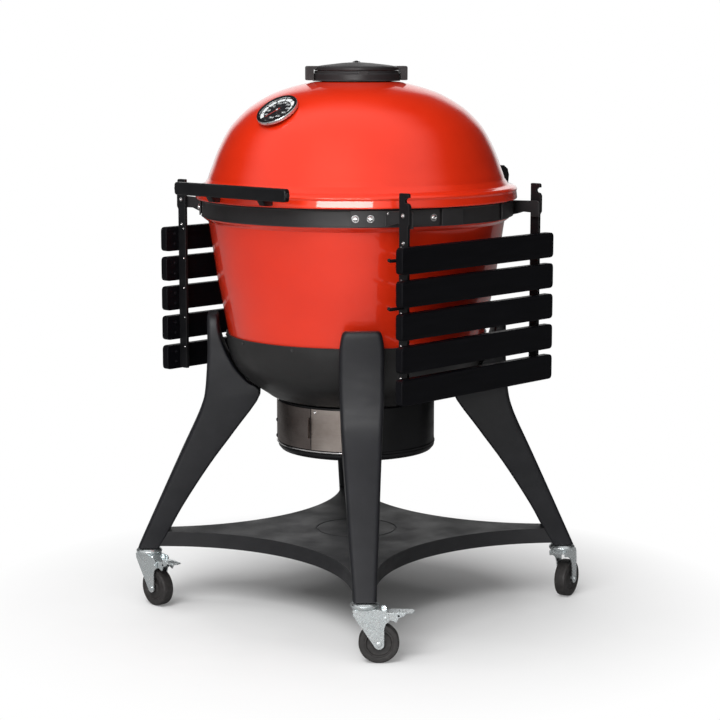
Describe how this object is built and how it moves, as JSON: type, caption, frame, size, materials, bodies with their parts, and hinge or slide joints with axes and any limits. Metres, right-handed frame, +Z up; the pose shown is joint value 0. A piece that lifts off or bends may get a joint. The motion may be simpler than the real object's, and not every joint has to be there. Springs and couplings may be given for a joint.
{
  "type": "kamado ceramic grill",
  "caption": "Egg-shaped ceramic charcoal grill with a hinged domed lid, on a wheeled stand, with fold-down slatted side shelves.",
  "frame": {"origin": "centre of the bottom shelf's top face, on the bowl's vertical axis, 161 mm above the floor", "axes": "+Z up, -Y the front where the handle and thermometer are, +X to the right seen from the front"},
  "size_m": [0.7446, 0.773, 1.159],
  "materials": {
    "red_enamel": "glossy orange-red glaze",
    "dark_enamel": "dark grey satin",
    "black_steel": "black satin coat",
    "powder_coat": "charcoal textured powder coat",
    "shelf_coat": "charcoal powder coat",
    "slat_black": "near-black satin",
    "stainless": "brushed",
    "zinc": "bright zinc plate",
    "wheel_rubber": "dark grey rubber",
    "gasket_felt": "heat-proof felt",
    "cast_iron": "seasoned",
    "pale_ceramic": "unglazed",
    "dial_black": "matt",
    "needle_red": "satin",
    "clear_glass": "clear"
  },
  "bodies": {
    "root": {"ceramic_bowl": "red_enamel", "bowl_cradle": "dark_enamel", "rim_band": "black_steel", "ash_drum": "black_steel", "fire_grate": "cast_iron", "charcoal_basket": "stainless", "grate_rack": "stainless", "left_cooking_grate": "cast_iron", "right_cooking_grate": "cast_iron", "heat_deflector": "pale_ceramic", "hinge_base": "black_steel", "hinge_pin": "zinc", "bottom_shelf": "shelf_coat", "front_left_leg": "powder_coat", "front_right_leg": "powder_coat", "rear_left_leg": "powder_coat", "rear_right_leg": "powder_coat", "front_left_shelf_bracket": "black_steel", "rear_left_shelf_bracket": "black_steel", "front_right_shelf_bracket": "black_steel", "rear_right_shelf_bracket": "black_steel"},
    "lid": {"dome_lid": "red_enamel", "lid_gasket": "gasket_felt", "handle_bar": "black_steel", "left_handle_post": "black_steel", "right_handle_post": "black_steel", "vent_neck": "black_steel", "vent_cap_bolt": "black_steel", "thermometer_case": "black_steel", "thermometer_dial": "dial_black", "thermometer_glass": "clear_glass", "lid_hinge_arm": "black_steel"},
    "vent_cap": {"vent_cap": "black_steel"},
    "thermometer_needle": {"thermometer_needle": "needle_red"},
    "vent_slide_door": {"vent_slide_door": "stainless"},
    "ash_pan": {"ash_pan": "black_steel"},
    "left_side_shelf": {"left_slat_1": "slat_black", "left_slat_2": "slat_black", "left_slat_3": "slat_black", "left_slat_4": "slat_black", "left_slat_5": "slat_black", "left_front_rail": "black_steel", "left_rear_rail": "black_steel"},
    "right_side_shelf": {"right_slat_1": "slat_black", "right_slat_2": "slat_black", "right_slat_3": "slat_black", "right_slat_4": "slat_black", "right_slat_5": "slat_black", "right_front_rail": "black_steel", "right_rear_rail": "black_steel"},
    "front_left_caster": {"front_left_caster_fork": "zinc"},
    "front_left_wheel": {"front_left_wheel": "wheel_rubber"},
    "front_left_brake": {"front_left_brake_pedal": "zinc"},
    "front_right_caster": {"front_right_caster_fork": "zinc"},
    "front_right_wheel": {"front_right_wheel": "wheel_rubber"},
    "front_right_brake": {"front_right_brake_pedal": "zinc"},
    "rear_left_caster": {"rear_left_caster_fork": "zinc"},
    "rear_left_wheel": {"rear_left_wheel": "wheel_rubber"},
    "rear_right_caster": {"rear_right_caster_fork": "zinc"},
    "rear_right_wheel": {"rear_right_wheel": "wheel_rubber"}
  },
  "joints": [
    {"name": "lid_hinge", "type": "hinge", "parent": "root", "child": "lid", "pos_m": [0, 0.385, 0.729], "axis": [-1, 0, 0], "range_deg": [0, 75]},
    {"name": "vent_cap_turn", "type": "hinge", "parent": "lid", "child": "vent_cap", "pos_m": [0, 0, 0.979], "axis": [0, 0, 1], "range_deg": [0, 90]},
    {"name": "needle_turn", "type": "hinge", "parent": "lid", "child": "thermometer_needle", "pos_m": [0, -0.236, 0.905], "axis": [0, 0.5878, -0.809], "range_deg": [0, 265]},
    {"name": "left_shelf_fold", "type": "hinge", "parent": "root", "child": "left_side_shelf", "pos_m": [-0.318, 0, 0.705], "axis": [0, 1, 0], "range_deg": [0, 90]},
    {"name": "right_shelf_fold", "type": "hinge", "parent": "root", "child": "right_side_shelf", "pos_m": [0.318, 0, 0.705], "axis": [0, -1, 0], "range_deg": [0, 90]},
    {"name": "front_left_swivel", "type": "hinge", "parent": "root", "child": "front_left_caster", "pos_m": [-0.31608, -0.31608, -0.045], "axis": [0, 0, 1], "continuous": true},
    {"name": "front_left_wheel_spin", "type": "hinge", "parent": "front_left_caster", "child": "front_left_wheel", "pos_m": [-0.28814, -0.31803, -0.121], "axis": [0.0698, 0.9976, 0], "continuous": true},
    {"name": "front_left_brake_press", "type": "hinge", "parent": "front_left_caster", "child": "front_left_brake", "pos_m": [-0.27518, -0.31894, -0.0685], "axis": [0.0698, 0.9976, 0], "range_deg": [0, 12]},
    {"name": "front_right_swivel", "type": "hinge", "parent": "root", "child": "front_right_caster", "pos_m": [0.31608, -0.31608, -0.045], "axis": [0, 0, 1], "continuous": true},
    {"name": "front_right_wheel_spin", "type": "hinge", "parent": "front_right_caster", "child": "front_right_wheel", "pos_m": [0.33655, -0.29698, -0.121], "axis": [-0.682, 0.7314, 0], "continuous": true},
    {"name": "front_right_brake_press", "type": "hinge", "parent": "front_right_caster", "child": "front_right_brake", "pos_m": [0.34606, -0.28812, -0.0685], "axis": [-0.682, 0.7314, 0], "range_deg": [0, 12]},
    {"name": "rear_left_swivel", "type": "hinge", "parent": "root", "child": "rear_left_caster", "pos_m": [-0.31608, 0.31608, -0.045], "axis": [0, 0, 1], "continuous": true},
    {"name": "rear_left_wheel_spin", "type": "hinge", "parent": "rear_left_caster", "child": "rear_left_wheel", "pos_m": [-0.30208, 0.34032, -0.121], "axis": [-0.866, 0.5, 0], "continuous": true},
    {"name": "rear_right_swivel", "type": "hinge", "parent": "root", "child": "rear_right_caster", "pos_m": [0.31608, 0.31608, -0.045], "axis": [0, 0, 1], "continuous": true},
    {"name": "rear_right_wheel_spin", "type": "hinge", "parent": "rear_right_caster", "child": "rear_right_wheel", "pos_m": [0.30978, 0.34336, -0.121], "axis": [-0.9744, -0.225, 0], "continuous": true},
    {"name": "vent_door_slide", "type": "hinge", "parent": "root", "child": "vent_slide_door", "pos_m": [0, 0, 0.241], "axis": [0, 0, -1], "range_deg": [0, 50]},
    {"name": "ash_pan_drop", "type": "slide", "parent": "root", "child": "ash_pan", "axis": [0, 0, -1], "range_m": [0, 0.06]}
  ]
}
